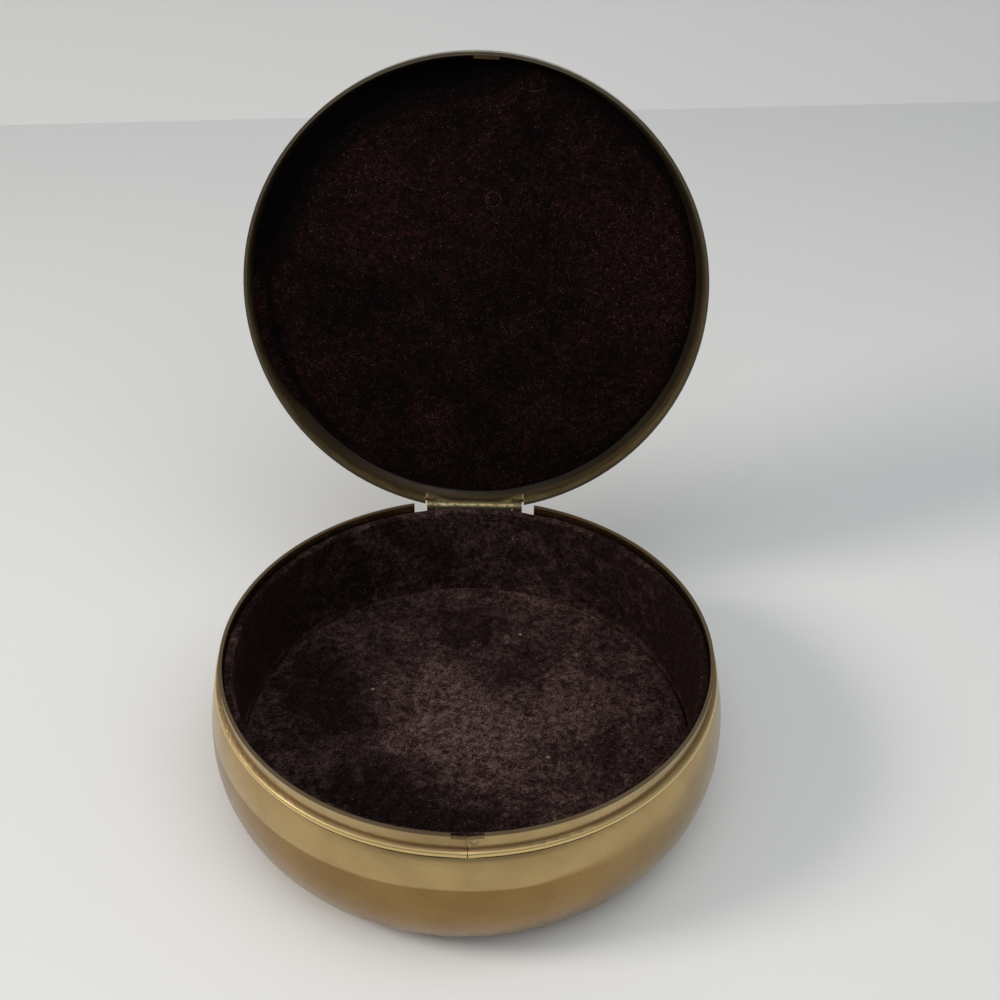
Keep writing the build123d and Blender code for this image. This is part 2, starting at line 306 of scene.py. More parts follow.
def brass(name, clean, tarnished, rough, lid=False, wear_and_light=None):
    """Aged brass between a clean and a tarnished colour, with pits and turning scratches."""
    constants = {"Metallic": 1.0, "Coat Weight": 0.15, "Coat Roughness": 0.3}
    material, shader, start = finish(name, constants)
    points = lid_points(start) if lid else start
    drift = cloud(points, 16 * mm, detail=4.0, rough=0.55)
    turned = cloud(points, 0.3 * mm, detail=2.0, stretch=(70, 70, 1))
    stain = cloud(points, 2.2 * mm, detail=4.0, rough=0.6, stretch=(2, 2, 1))
    age = between(drift, 0.32, 0.68) * 0.7 + between(stain, 0.3, 0.7) * 0.2 + turned * 0.1
    colour = age.mix(tarnished, clean)
    gloss = rough + (1 - age) * 0.06 + (turned - 0.5) * 0.05
    dull = None
    if wear_and_light:
        colour, gloss, dull = wear_and_light(points, colour, gloss)
    pits = specks(points, 2.4 * mm, 0.07) * between(cloud(points, 8 * mm), 0.52, 0.62)
    feed(shader, "Base Color", (pits * 0.7).mix(colour, pit_brown))
    feed(shader, "Roughness", gloss + pits * 0.2)
    if dull:
        feed(shader, "Metallic", 1 - dull)
    beaten = bump(cloud(points, 16 * mm, detail=1.0), 0.03 * mm, 0.4)
    feed(shader, "Normal", bump(turned + stain * 0.4, 0.004 * mm, 0.5, beaten))
    print(name, "has", len(material.node_tree.nodes), "nodes")
    return material


print("pits are", [round(c, 3) for c in pit_brown[:3]], "in linear light")

# %% [markdown]
# The bowl is painted paler above its shoulder and browner on the belly below: a painted
# reflection. The line between them is sharp in front and blurred at the right. It could be
# painted on, but a mask of height is simpler and stays level all round. Grey scuffs gather round
# the foot, where the box is slid about.

# %% Bowl finish
reflection_tint = (0.62, 0.53, 0.39, 1.0)
reflection_line = 28.5 * mm
reflection_edge = 29.3 * mm
scuff_grey = srgb(96, 90, 80)


def bowl_wear_and_reflection(points, colour, gloss):
    """A painted reflection that browns the belly below the shoulder, and grey scuffs round the foot.
    """
    level = points.part("Z") + cloud(points, 24 * mm, detail=2.0) * 1.6 * mm
    right = between(points.part("X"), 15 * mm, 60 * mm)
    blurred = right * 7 * mm
    # Painted reflection: below this line the bowl is darkened and browned.
    lower_reflection = 1 - between(level, reflection_line - 0.4 * blurred, reflection_edge + blurred)
    colour = (lower_reflection * (1 - 0.5 * right)).mix(colour, reflection_tint, "MULTIPLY")
    low = 1 - between(level, 4 * mm, 15 * mm)
    scuffs = low * between(cloud(points, 3 * mm, detail=5.0, stretch=(3, 3, 1)), 0.45, 0.6)
    colour = (scuffs * 0.5).mix(colour, scuff_grey)
    return colour, gloss + lower_reflection * 0.03 + scuffs * 0.25, scuffs * 0.5


bowl_brass = brass("brass_bowl", srgb(184, 157, 108), srgb(166, 140, 94), 0.22, wear_and_light=bowl_wear_and_reflection)

# %% [markdown]
# The collar is one strip, so its two ends meet at the front. The end left of that seam is darker
# and the corner right of it is smudged. The bead's crest is painted bright as a painted highlight,
# dirt stays in the groove over it, and the lip is darker. Each of these is a
# band of height or of distance from the axis, which follows the ring without any drawing.

# %% Collar finish
bead_level = 37.8 * mm
bead_crest = 63.6 * mm
seam_x = 2.2 * mm
smudge_place = (3.2, -62.6, 41.0)
darker_left_end = (0.66, 0.63, 0.64, 1.0)
groove_dirt = srgb(112, 92, 58)
crest_highlight_gold = srgb(228, 200, 138)
smudge_brown = srgb(70, 54, 36)
collar_lip = srgb(58, 46, 32)


def collar_wear_and_highlight(points, colour, gloss):
    """A painted highlight on the bead's crest, dirt in the grooves, a darker lip, and marks at the
    seam.
    """
    height = points.part("Z")
    across = points.part("X") - seam_x
    front = 1 - between(points.part("Y"), -58 * mm, -50 * mm)
    left_end = 1 - between(across, -0.25 * mm, 0.25 * mm)
    beside = between(across, -22 * mm, -2 * mm) * left_end * front
    colour = (0.25 + beside * 0.75).mix(colour, darker_left_end, "MULTIPLY")
    over_bead = band(height, bead_level + 1.1 * mm, 0.75 * mm)
    under_bead = band(height, bead_level - 1.2 * mm, 0.5 * mm)
    dirt = (over_bead + under_bead) * between(cloud(points, 9 * mm, detail=3.0), 0.0, 0.6)
    colour = (dirt * 0.75).mix(colour, groove_dirt)
    # Painted highlight: the bead's crest is coloured bright gold.
    upper = between(height, bead_level - 0.4 * mm, bead_level)
    crest_highlight = between(from_axis(points), bead_crest - 0.4 * mm, bead_crest) * upper
    colour = (crest_highlight * 0.7).mix(colour, crest_highlight_gold)
    patina = between(cloud(points, 1.2 * mm, detail=4.0), 0.4, 0.6)
    smudge = near(points, smudge_place, 2.6) * patina
    colour = (smudge * 0.55).mix(colour, smudge_brown)
    lip = between(height, collar_top - 0.45 * mm, collar_top - 0.1 * mm)
    colour = (lip * 0.8).mix(colour, collar_lip)
    return colour, gloss + dirt * 0.35 + lip * 0.2, lip * 0.6 + smudge * 0.3 + dirt * 0.5


collar_brass = brass(
    "brass_collar", srgb(194, 169, 120), srgb(172, 146, 100), 0.22, wear_and_light=collar_wear_and_highlight
)

# %% [markdown]
# Inside the lid the side strip is blotched, and painted darker deeper in as painted shade, with
# solder crusted near the hinge and a thin dark lip. Behind the velvet's edge the dish's hollow is
# painted dark as painted shade. The dish is one mesh with two sides, and a mask by distance from
# the middle of its rounded shoulder darkens the inner side and leaves the outer one as it is.

# %% Lid finishes
lid_inner = 63.0 * mm
shoulder_out = 60.3 * mm
shoulder_up = 44.4 * mm
inner_bend = 2.8 * mm
outer_bend = 3.3 * mm
band_solder_place = (-9.0, 62.0, 42.6)
depth_shade_brown = srgb(66, 54, 34)
blotch_green = srgb(116, 104, 64)
lid_lip = srgb(56, 52, 43)
band_solder = srgb(150, 142, 120)
hollow_shade_brown = srgb(36, 29, 20)


def band_wear_and_shade(points, colour, gloss):
    """Blotched tarnish inside the strip, painted shade deeper in, a thin dark lip, and solder beside
    the hinge.
    """
    depth = points.part("Z") - rim_level
    inside = 1 - between(from_axis(points), lid_inner - 0.02 * mm, lid_inner + 0.1 * mm)
    # Painted shade: the strip is darkened deeper inside the lid.
    deep = between(depth, 1.6 * mm, 4.4 * mm) * inside
    blotch = between(cloud(points, 2.5 * mm, detail=5.0, rough=0.65, stretch=(2, 2, 1)), 0.35, 0.7)
    colour = (deep * 0.75).mix(colour, depth_shade_brown)
    colour = (inside * blotch * 0.35).mix(colour, blotch_green)
    lip = 1 - between(depth, 0.05 * mm, 0.3 * mm)
    colour = (lip * 0.9).mix(colour, lid_lip)
    crust = between(cloud(points, 0.8 * mm, detail=5.0, rough=0.7), 0.42, 0.58)
    solder = near(points, band_solder_place, 6.5) * crust
    colour = solder.mix(colour, band_solder)
    dull = inside * (0.22 + 0.3 * blotch) + lip * 0.5 + solder * 0.3
    return colour, gloss + deep * 0.1 + lip * 0.2, dull


def lid_hollow_shading(points, colour, gloss):
    """Painted shade in the hollow behind the velvet's edge. The outside keeps its colour."""
    outward = from_axis(points) - shoulder_out
    upward = points.part("Z") - shoulder_up
    square = outward * outward + upward * upward
    # Painted shade: the hollow behind the velvet's edge is darkened.
    hollow_shade = 1 - between(square, inner_bend**2, outer_bend**2)
    colour = (hollow_shade * 0.9).mix(colour, hollow_shade_brown)
    return colour, gloss + hollow_shade * 0.2, hollow_shade * 0.8


band_brass = brass(
    "brass_lid_band", srgb(186, 162, 116), srgb(140, 118, 78), 0.26, True, band_wear_and_shade
)
lid_brass = brass("brass_lid", srgb(184, 156, 108), srgb(158, 130, 86), 0.24, True, lid_hollow_shading)

# %% [markdown]
# The hinge is the dirtiest metal. Both leaves share one finish: dark crusts, painted shade on
# the barrel's underside, pale solder at the left, and painted highlights at the two ends of the
# leaf, where its edges catch the light. The catch tab and the pin are too small to need wear of
# their own.

# %% Hinge, catch and pin finishes
leaf_end = 14.2 * mm
barrel_crown = 41.4 * mm
leaf_solder_place = (-9.0, 62.0, 45.0)
crust_dark = srgb(46, 40, 26)
underside_shade_brown = srgb(56, 48, 30)
leaf_solder = srgb(168, 160, 134)
corner_highlight = srgb(222, 212, 176)


def hinge_wear_and_light(points, colour, gloss):
    """Dark crusts, painted shade below the barrel's crown, pale solder, and painted highlights at the
    leaf's ends.
    """
    # Painted highlight: the leaf's two ends are coloured bright.
    lit_corners = between(abs(points.part("X")), leaf_end - 0.6 * mm, leaf_end)
    crust = between(cloud(points, 1.2 * mm, detail=5.0, rough=0.7), 0.42, 0.58)
    colour = (crust * 0.7).mix(colour, crust_dark)
    # Painted shade: everything below the barrel's crown is browned.
    underside_shade = 1 - between(points.part("Z"), barrel_crown - 0.6 * mm, barrel_crown)
    colour = (underside_shade * 0.75).mix(colour, underside_shade_brown)
    crumbs = between(cloud(points, 0.7 * mm, detail=4.0), 0.44, 0.56)
    solder = near(points, leaf_solder_place, 6.0) * crumbs
    colour = (solder * 0.9).mix(colour, leaf_solder)
    colour = (lit_corners * 0.8).mix(colour, corner_highlight)
    return colour, gloss + crust * 0.15, 0.25 + 0.25 * crust


hinge_brass = brass(
    "brass_hinge", srgb(184, 166, 120), srgb(122, 106, 70), 0.32, wear_and_light=hinge_wear_and_light
)
catch_brass = brass("brass_catch", srgb(132, 106, 76), srgb(84, 64, 46), 0.4, True)
pin_brass = brass("brass_pin", srgb(170, 152, 110), srgb(120, 104, 72), 0.34)

# %% [markdown]
# The card behind the lining hardly shows, but a gap at the hinge can let light in on it, so it
# gets a dark brown board with flecks of fibre. Then every metal and card node gets its finish.

# %% Card, and a finish for every node


def card():
    """Brown board with flecks of fibre."""
    material, shader, start = finish("lining_board", {"Roughness": 0.9})
    flecks = cloud(start, 0.7 * mm, detail=4.0, stretch=(3, 1, 1))
    feed(shader, "Base Color", between(flecks, 0.3, 0.7).mix(srgb(52, 40, 32), srgb(86, 70, 56)))
    feed(shader, "Normal", bump(flecks, 0.05 * mm))
    return material


board = card()
for node_name, node_finish in {
    "bowl_shell": bowl_brass,
    "rim_band": collar_brass,
    "lid_rim_band": band_brass,
    "lid_shell": lid_brass,
    "base_hinge_leaf": hinge_brass,
    "lid_hinge_leaf": hinge_brass,
    "lid_catch_tab": catch_brass,
    "hinge_pin": pin_brass,
    "base_floor_card": board,
    "base_wall_card": board,
    "lid_panel_card": board,
}.items():
    frame["nodes"][node_name].data.materials.clear()
    frame["nodes"][node_name].data.materials.append(node_finish)
    print(node_name, "is finished in", node_finish.name)

# %% [markdown]
# Velvet is a lawn of short threads. Real threads by the million are too heavy, so the material
# does it: short strokes of noise stand for tufts. Strokes that all ran one way would look like
# combed hair, so their slant changes from patch to patch, as a pile that hands have stroked.

# %% Tufts
tuft_size = 0.25 * mm
clump_size = 6 * tuft_size
slant_patch = 4 * mm


def tufts(points):
    """Thread ends gathered in clumps, 0 to 1. Their slant changes from patch to patch."""
    loose = warped(points, 3 * mm, 1.2 * mm)
    one_way = cloud(loose, tuft_size, detail=3.0, rough=0.75, stretch=(1.0, 1.7, 1.3))
    other_way = cloud(loose, tuft_size, detail=3.0, rough=0.75, stretch=(1.7, 1.0, 1.3))
    choice = between(cloud(points, slant_patch, detail=1.0), 0.42, 0.58)
    grain = one_way + choice * (other_way - one_way)
    clumps = cloud(loose, clump_size, detail=4.0, rough=0.65)
    return grain * 0.65 + clumps * 0.35


print("tufts", round(tuft_size / mm, 2), "mm across, in clumps of", round(clump_size / mm, 2))

# %% [markdown]
# Seen along its threads velvet is nearly black, and where they have been pushed over it shows
# their lit sides, so it looks cloudy. A sheen setting alone can't make those clouds. Here a
# broad noise, the lean, says how far the pile is pushed towards the light. It chooses the
# colour, and bump gives each tuft a lit and a dark side. Lining and lid pass in their own lean.

# %% Velvet
velvet_touch = {
    "Roughness": 0.95,
    "Specular IOR Level": 0.04,
    "Sheen Weight": 0.06,
    "Sheen Roughness": 0.4,
    "Sheen Tint": srgb(190, 120, 110),
}
swell_depth = 2.0 * mm
tuft_depth = 0.5 * mm


def velvet(name, deep, lit, tip, lean_of, details, lid=False):
    """A pile that is deep where it stands, lit where it leans, and paler at thread ends."""
    material, shader, start = finish(name, velvet_touch)
    points = lid_points(start) if lid else start
    crushed = cloud(warped(points, 10 * mm, 3 * mm), 15 * mm, detail=5.0, rough=0.62)
    brushed = cloud(warped(points, 4 * mm, 2 * mm), 4 * mm, detail=3.0, rough=0.6)
    lean = lean_of(points, crushed * 0.52 + brushed * 0.48)
    strokes = tufts(points)
    shade = between(lean, 0.32, 0.76)
    fibre = between(strokes, 0.44, 0.6)
    least = between(lean, -0.3, 0.0) * 0.1
    # Partly random tone of the crushed pile, partly painted light and shade: the lean mixes a dark
    # and a lit colour of one pile.
    colour = ((least + 0.9 * shade) * (0.05 + 0.95 * fibre)).mix(deep, lit)
    ends = specks(points, 0.6 * mm, 0.3) * between(strokes, 0.48, 0.6)
    colour = (ends * (3 * least + 0.5 * shade)).mix(colour, tip)
    feed(shader, "Base Color", details(points, colour))
    swell = bump(lean, swell_depth, 0.5)
    feed(shader, "Normal", bump(strokes, tuft_depth, 0.8, swell))
    print(name, "has", len(material.node_tree.nodes), "nodes")
    return material


def patches(points, lean, pale, dark):
    """Pushes the pile towards the light in the pale patches and away from it in the dark."""
    for centre, radius, weight in pale:
        lean = lean + near(points, centre, radius) * weight
    for centre, radius, weight in dark:
        lean = lean - near(points, centre, radius) * weight
    return lean


print("bump depths:", round(swell_depth / mm, 2), "mm for the pile,", tuft_depth / mm, "mm for tufts")

# %% [markdown]
# The floor of the base is painted paler in its middle as painted light, and darker at its left and
# front as the wall's painted shadow; the wall is painted darker as painted shade where its pile
# points at the viewer. The pale and dark patches are given as soft round masks: each is its
# middle, its radius in millimetres and how strongly it turns the pile. Pale lint has settled on
# the floor, and three bits of it are large enough to be placed one by one.

# %% Velvet of the base
# Painted light and shade: pale patches where light falls, dark ones in the wall's shadow.
base_lit_patches = (((-2, 3, 13), 30, 0.26), ((25, 11, 13), 22, 0.14), ((9, -6, 13), 20, 0.14))
base_shade_patches = (
    ((-37, 4, 13), 20, 0.2),
    ((-45, 19, 13), 18, 0.16),
    ((9.5, 18, 13), 15, 0.2),
    ((-1.5, 40, 13), 16, 0.16),
    ((-24, -26, 13), 22, 0.22),
    ((-4, -48, 13), 36, 0.3),
    ((-56, 18, 37), 20, 0.22),
    ((59, 3, 35), 30, 0.3),
)
base_lint = ((21.3, -10.4, 13.2), (13.9, 37.5, 13.2), (-26.5, 13.8, 13.2))
lint_size = 0.7
wall_face = 59.4 * mm
floor_ridge = 57.8 * mm
floor_level = 13.5 * mm
fold_level = 39.9 * mm


def base_lean(points, lean):
    """Painted shade on the wall, darkest at its sides, with painted highlights on the fold and floor
    edge.
    """
    lean = patches(points, lean, base_lit_patches, base_shade_patches)
    height = points.part("Z")
    outside = between(from_axis(points), wall_face - 1.2 * mm, wall_face)
    wall = outside * between(height, floor_level, floor_level + 2 * mm)
    side_shade = between(abs(points.part("X")), 26 * mm, 52 * mm)
    left = 1 - between(points.part("X"), -52 * mm, -40 * mm)
    fold_highlight = between(height, fold_level, fold_level + 0.6 * mm) * (0.25 + left)
    low = 1 - between(height, floor_level + 1 * mm, floor_level + 2.5 * mm)
    ridge_highlight = band(from_axis(points), floor_ridge, 1.3 * mm) * low
    # Painted shade on the wall and its sides, painted highlights on the fold and the floor's edge.
    return lean - wall * 0.04 - wall * side_shade * 0.11 + fold_highlight * 0.1 + ridge_highlight * 0.06


def base_details(points, colour):
    """Pale lint that has settled on the lining."""
    dust = specks(points, 6.5 * mm, 0.035) * between(cloud(points, 12 * mm), 0.45, 0.6)
    colour = (dust * 0.8).mix(colour, srgb(150, 134, 122))
    for place in base_lint:
        colour = (near(points, place, lint_size) * 0.9).mix(colour, srgb(150, 136, 124))
    return colour


base_velvet = velvet(
    "velvet_base", srgb(11, 4, 4), srgb(112, 86, 82), srgb(156, 134, 128), base_lean, base_details
)

# %% [markdown]
# The lid's velvet faces away from the light, so its colours are painted redder and much darker as
# painted shade. It is painted paler in three soft patches, and painted nearly black in a crescent
# inside the rim as the rim's shadow. At the left its edge turns up the side wall with painted light
# on it, over a crease painted dark as a shadow. A few long stray fibres lie on it.
# Real curves could be modelled, but a part of a thin ring in the material looks the same here.

# %% Velvet of the lid
lid_pale = (((49, -8, 44.4), 34, 0.18), ((-13, 37, 44.4), 9, 0.2), ((-24, -28, 44.4), 34, 0.12))
lid_dark = (((-30, 10, 44.4), 30, 0.04), ((4, 4, 44.4), 16, 0.06))
lid_crease = 57.8 * mm
fibre_half = 0.13 * mm
stray_fibres = (
    ((4.3, -25.3), 2.0, (4.3, -24.3), 5.0),
    ((-15.0, -35.5), 8.0, (-19.0, -28.5), 7.0),
    ((14.7, -60.0), 6.3, (14.7, -53.7), 5.0),
)


def lid_lean(points, lean):
    """Paler patches, a painted shadow crescent, a painted shaded right edge, and painted light on the
    turned-up left edge over a painted shadow in its crease.
    """
    lean = patches(points, lean, lid_pale, lid_dark)
    out = from_axis(points)
    left = points.part("X") * -1.0
    rim_side = left * 0.6 - points.part("Y") * 0.8
    # Painted shadow of the rim: a nearly black crescent inside it.
    rim_shadow = between(out, 50 * mm, 57 * mm) * between(rim_side, 36 * mm, 48 * mm)
    strip_light = between(out, 59.4 * mm, 60.6 * mm) * between(left, 28 * mm, 34 * mm)
    crease_shadow = band(out, lid_crease, 2.0 * mm) * between(left, 28 * mm, 40 * mm)
    shaded = between(out, 57 * mm, 61 * mm) * between(points.part("X"), 20 * mm, 40 * mm)
    # Painted light on the turned-up strip, painted shadow in the crease and along the right edge.
    return lean + strip_light * 0.14 - crease_shadow * 0.2 - shaded * 0.25 - rim_shadow * 0.8


def curl(points, centre, radius, middle, reach):
    """A stray fibre: the part of a thin ring that lies near its middle, in millimetres."""
    flat = points.vector("MULTIPLY", points, (1, 1, 0))
    away = flat.vector("DISTANCE", flat, [c * mm for c in centre] + [0.0], output="Value")
    kept = between(near(flat, list(middle) + [0.0], reach), 0.1, 0.4)
    broken = between(cloud(points, 1.1 * mm), 0.3, 0.5)
    return band(away, radius * mm, fibre_half) * kept * broken


def lid_details(points, colour):
    """Lint, and a few long stray fibres lying on the pile."""
    dust = specks(points, 5 * mm, 0.03) * between(cloud(points, 14 * mm), 0.45, 0.62)
    colour = (dust * 0.7).mix(colour, srgb(124, 104, 96))
    first, second, third = [curl(points, *fibre) for fibre in stray_fibres]
    return ((first + second + third) * 0.4).mix(colour, srgb(104, 74, 62))


# Painted shade: darker, redder colours than the base's, for a lining that faces away from the light.
lid_velvet = velvet(
    "velvet_lid", srgb(3, 1, 1), srgb(46, 23, 22), srgb(112, 94, 94), lid_lean, lid_details, True
)

# %% [markdown]
# The floor's cushion and the lid's are round, because they were cut for a round box. A disc made
# as a fan of triangles puckers at its middle when it is swelled, so a pad starts as a square
# grid that is pressed into a circle: its cells stay nearly square everywhere. A copy of the grid
# makes the underside, and a bridge between their borders makes the side.

# %% A flat round pad
pad_cells = 92
side_cuts = 3


def disc(radius, low, high):
    """A flat round pad: a square grid pressed into a circle, a copy under it and a side."""
    shape = bmesh.new()
    bmesh.ops.create_grid(shape, x_segments=pad_cells, y_segments=pad_cells, size=1.0)
    for vertex in shape.verts:
        x, y = vertex.co.x, vertex.co.y
        vertex.co.x = radius * x * math.sqrt(1 - y * y / 2)
        vertex.co.y = radius * y * math.sqrt(1 - x * x / 2)
        vertex.co.z = high
    copy = bmesh.ops.duplicate(shape, geom=shape.faces[:])
    lower = [v for v in copy["geom"] if isinstance(v, bmesh.types.BMVert)]
    bmesh.ops.translate(shape, verts=lower, vec=(0, 0, low - high))
    bmesh.ops.bridge_loops(shape, edges=[e for e in shape.edges if e.is_boundary])
    upright = [e for e in shape.edges if abs(e.verts[0].co.z - e.verts[1].co.z) > 0.1 * mm]
    bmesh.ops.subdivide_edges(shape, edges=upright, cuts=side_cuts)
    bmesh.ops.recalc_face_normals(shape, faces=shape.faces[:])
    return shape


print("a pad has", pad_cells**2, "cells on each face")

# %% [markdown]
# Each soft piece ends in the same way: its mesh is smooth and has its finish, and the object
# stays at the origin and rides on a body, so that it moves with the lid or stays with the base.
# Nothing soft is quite even, and noise that is read at the points themselves gives the same
# gentle dents in every run.

# %% Finishing a soft piece


def piece(name, shape, material, body):
    """A finished object at the origin, smooth, with its finish, on its body."""
    mesh = bpy.data.meshes.new(name)
    shape.to_mesh(mesh)
    shape.free()
    mesh.polygons.foreach_set("use_smooth", [True] * len(mesh.polygons))
    mesh.materials.append(material)
    made = bpy.data.objects.new(name, mesh)
    bpy.context.scene.collection.objects.link(made)
    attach(made, body)
    print(name, "has", len(mesh.polygons), "faces")
    return made


def softened(made):
    """One live subdivision, the same in the view and in the render."""
    soften = made.modifiers.new("soften", "SUBSURF")
    soften.levels = soften.render_levels = 1


def uneven(point, size, depth, seed):
    """Gentle dents and rises that are the same in every run."""
    return depth * noise.noise(point / size + Vector((seed, seed, seed)))


sample = [uneven(Vector((x * mm, 0, 0)), 17 * mm, 1.0, 3.1) for x in range(-50, 60, 10)]
print("dents from", round(min(sample), 2), "to", round(max(sample), 2), "of their depth")

# %% [markdown]
# The floor is velvet glued over wadding, so it is a flat cushion. Modelling its gentle crown by
# hand looks stiff, so cloth is simulated instead: the underside is held, air pressure swells
# the top, a cap keeps every point near its start, and the result is applied to the mesh.

# %% Swelling a pad by cloth simulation
air_pressure = 4.0
swell_frames = 20


def plump(pad, held, cap):
    """Swells a closed pad, holds the points that held says, and moves none past the cap."""
    start = [v.co.copy() for v in pad.data.vertices]
    pins = pad.vertex_groups.new(name="held")
    pins.add([v.index for v in pad.data.vertices if held(v.co)], 1.0, "REPLACE")
    cloth = pad.modifiers.new("swell", "CLOTH")
    cloth.settings.vertex_group_mass = pins.name
    cloth.settings.use_pressure = True
    cloth.settings.uniform_pressure_force = air_pressure
    cloth.settings.effector_weights.gravity = 0.0
    scene = bpy.context.scene
    for number in range(1, swell_frames + 1):
        scene.frame_set(number)
    swollen = pad.evaluated_get(bpy.context.evaluated_depsgraph_get()).to_mesh()
    moves = [v.co - s for v, s in zip(swollen.vertices, start)]
    pad.modifiers.remove(cloth)
    pad.vertex_groups.remove(pins)
    for vertex, origin, move in zip(pad.data.vertices, start, moves):
        vertex.co = origin + move * (cap / (cap + move.length))
    scene.frame_set(1)
    print(pad.name, "swelled by up to", round(max(m.length for m in moves) / mm, 2), "mm")


print("cloth runs for", swell_frames, "frames, or not at all in a quick look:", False)

# %% [markdown]
# The floor cushion fills the space between the card disc and the wall velvet. Its edge is
# pressed against the wall, which pushes up a low soft ridge all round that catches a thin line
# of light, and lumps in the wadding leave the top a little uneven. The ridge could come from
# the simulation too, but a curve of the distance from the wall is steadier and quicker.

# %% Floor cushion
floor_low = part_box("base_floor_padding")[0].z
floor_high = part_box("base_floor_velvet")[1].z
floor_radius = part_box("base_floor_velvet")[1].y
floor_cap = 0.9 * mm
ridge_width = 2.6 * mm
ridge_rise = 0.55 * mm
floor_shape = disc(floor_radius, floor_low + 0.1 * mm, floor_high - 0.5 * mm)
floor_pad = piece("floor_cushion", floor_shape, base_velvet, "base")
plump(floor_pad, lambda p: p.z < floor_low + 1.2 * mm, floor_cap)
for vertex in floor_pad.data.vertices:
    point = vertex.co
    out = math.hypot(point.x, point.y)
    if out > floor_radius:
        point.x *= floor_radius / out
        point.y *= floor_radius / out
    if point.z > floor_low + 2 * mm:
        inward = max(0.0, floor_radius - out) / ridge_width
        point.z += ridge_rise * math.exp(-((inward - 0.7) ** 2) * 4)
        point.z += uneven(point, 17 * mm, 0.5 * mm, 3.1) + uneven(point, 5 * mm, 0.22 * mm, 7.7)
        point.z += uneven(point, 2.1 * mm, 0.12 * mm, 1.9)
softened(floor_pad)
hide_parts("base_floor_padding", "base_floor_velvet")

# %% [markdown]
# The wall is one long strip of velvet. It could be a flat strip that is bent round, but a ring
# has the same section everywhere, so the section is drawn once as points and spun. An arc and a
# straight run are all that the section needs.

# %% A section, and how it is spun


def spun(outline, steps):
    """A bmesh of an outline of (radius, height) points, spun right round the upright axis."""
    shape = bmesh.new()
    corners = [shape.verts.new((radius, 0.0, height)) for radius, height in outline]
    for first, second in zip(corners, corners[1:]):
        shape.edges.new((first, second))
    bmesh.ops.spin(
        shape,
        geom=shape.verts[:] + shape.edges[:],
        cent=(0, 0, 0),
        axis=(0, 0, 1),
        angle=math.tau,
        steps=steps,
        use_merge=True,
    )
    bmesh.ops.remove_doubles(shape, verts=shape.verts[:], dist=0.01 * mm)
    bmesh.ops.recalc_face_normals(shape, faces=shape.faces[:])
    return shape


def arc(centre, radius, start, stop, steps):
    """Points round an arc in the (radius, height) plane, angles in degrees."""
    turn = [math.radians(start + (stop - start) * k / steps) for k in range(steps + 1)]
    return [(centre[0] + radius * math.cos(t), centre[1] + radius * math.sin(t)) for t in turn]


def run(first, second, step):
    """Points along a straight run, about step apart, without its last point."""
    count = max(1, round(math.dist(first, second) / step))
    return [
        tuple(a + (b - a) * k / count for a, b in zip(first, second)) for k in range(count)
    ]


wall_low, wall_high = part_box("base_wall_velvet")
wall_inner = floor_radius + 0.1 * mm
wall_outer = wall_high.y
cloth_depth = 1.0 * mm
fold = 0.85 * mm
fold_back = 0.4 * mm
wall_foot = wall_low.z + 0.1 * mm
cloth_back = wall_inner + cloth_depth
under_fold = wall_high.z - cloth_depth
wall_outline = (
    run((wall_inner, wall_foot), (wall_inner, wall_high.z - fold), 1.0 * mm)
    + arc((wall_inner + fold, wall_high.z - fold), fold, 180, 90, 6)
    + arc((wall_outer - fold_back, wall_high.z - fold_back), fold_back, 90, 0, 4)
    + [(wall_outer, under_fold), (cloth_back, under_fold)]
    + run((cloth_back, under_fold - 0.5 * mm), (cloth_back, wall_foot), 4 * mm)
    + [(cloth_back, wall_foot), (wall_inner, wall_foot)]
)
print("the wall's section has", len(wall_outline), "points")

# %% [markdown]
# The strip is glued inside a card ring and folded over its top edge. The fold is soft, so its
# top line wanders a little, and the tufts along it make it slightly ragged. Both are gentle
# moves of the spun points: dents in the face that shows, and a top line that sinks here and
# there. It only ever sinks, so the velvet never stands higher than its solid.

# %% Wall velvet
wall_steps = 400
fold_zone = 6 * mm
wall = spun(wall_outline, wall_steps)
for vertex in wall.verts:
    point = vertex.co
    away = Vector((point.x, point.y, 0)).normalized()
    if point.x**2 + point.y**2 < (wall_inner + 0.9 * cloth_depth) ** 2:
        dents = uneven(point, 12 * mm, 0.35 * mm, 1.3) + uneven(point, 2.2 * mm, 0.14 * mm, 4.4)
        vertex.co += away * dents
    if vertex.co.z > wall_high.z - fold_zone:
        rise = (vertex.co.z - wall_high.z + fold_zone) / fold_zone
        sink = abs(uneven(vertex.co, 9 * mm, 0.35 * mm, 5.9))
        sink += abs(uneven(vertex.co, 1.4 * mm, 0.25 * mm, 8.2))
        vertex.co.z -= rise * sink
wall_velvet = piece("wall_velvet", wall, base_velvet, "base")
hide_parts("base_wall_velvet")

# %% [markdown]
# The lid's velvet lies over thin wadding on a card disc. It is made with the lid shut, where
# up is up, and then swung open with the same turn as the metal. Making it in the open lid would
# need every height to be read along a slanting line.

# %% Lid cushion
lid_velvet_box = shut_box("lid_panel_velvet")
lid_padding_box = shut_box("lid_panel_padding")
lid_back = lid_padding_box[1].z
lid_face = lid_padding_box[0].z - 1.0 * mm
lid_radius = lid_velvet_box[1].x
lid_cap = 0.4 * mm
lid_shape = disc(lid_radius - 0.4 * mm, lid_face, lid_back - 0.1 * mm)
lid_pad = piece("lid_cushion", lid_shape, lid_velvet, "lid")
plump(lid_pad, lambda p: p.z > lid_back - 0.6 * mm, lid_cap)

# %% [markdown]
# The maker cut this velvet freely: it nearly fills the lid at the front, leaves a line of bare
# brass towards the hinge, and at the left it runs a little way up the side wall. A second piece
# for the turned-up edge would show a join that isn't there, so the pad's own outer cells are
# stretched out to the cut line and, over a quarter of the way round, bent up the wall.

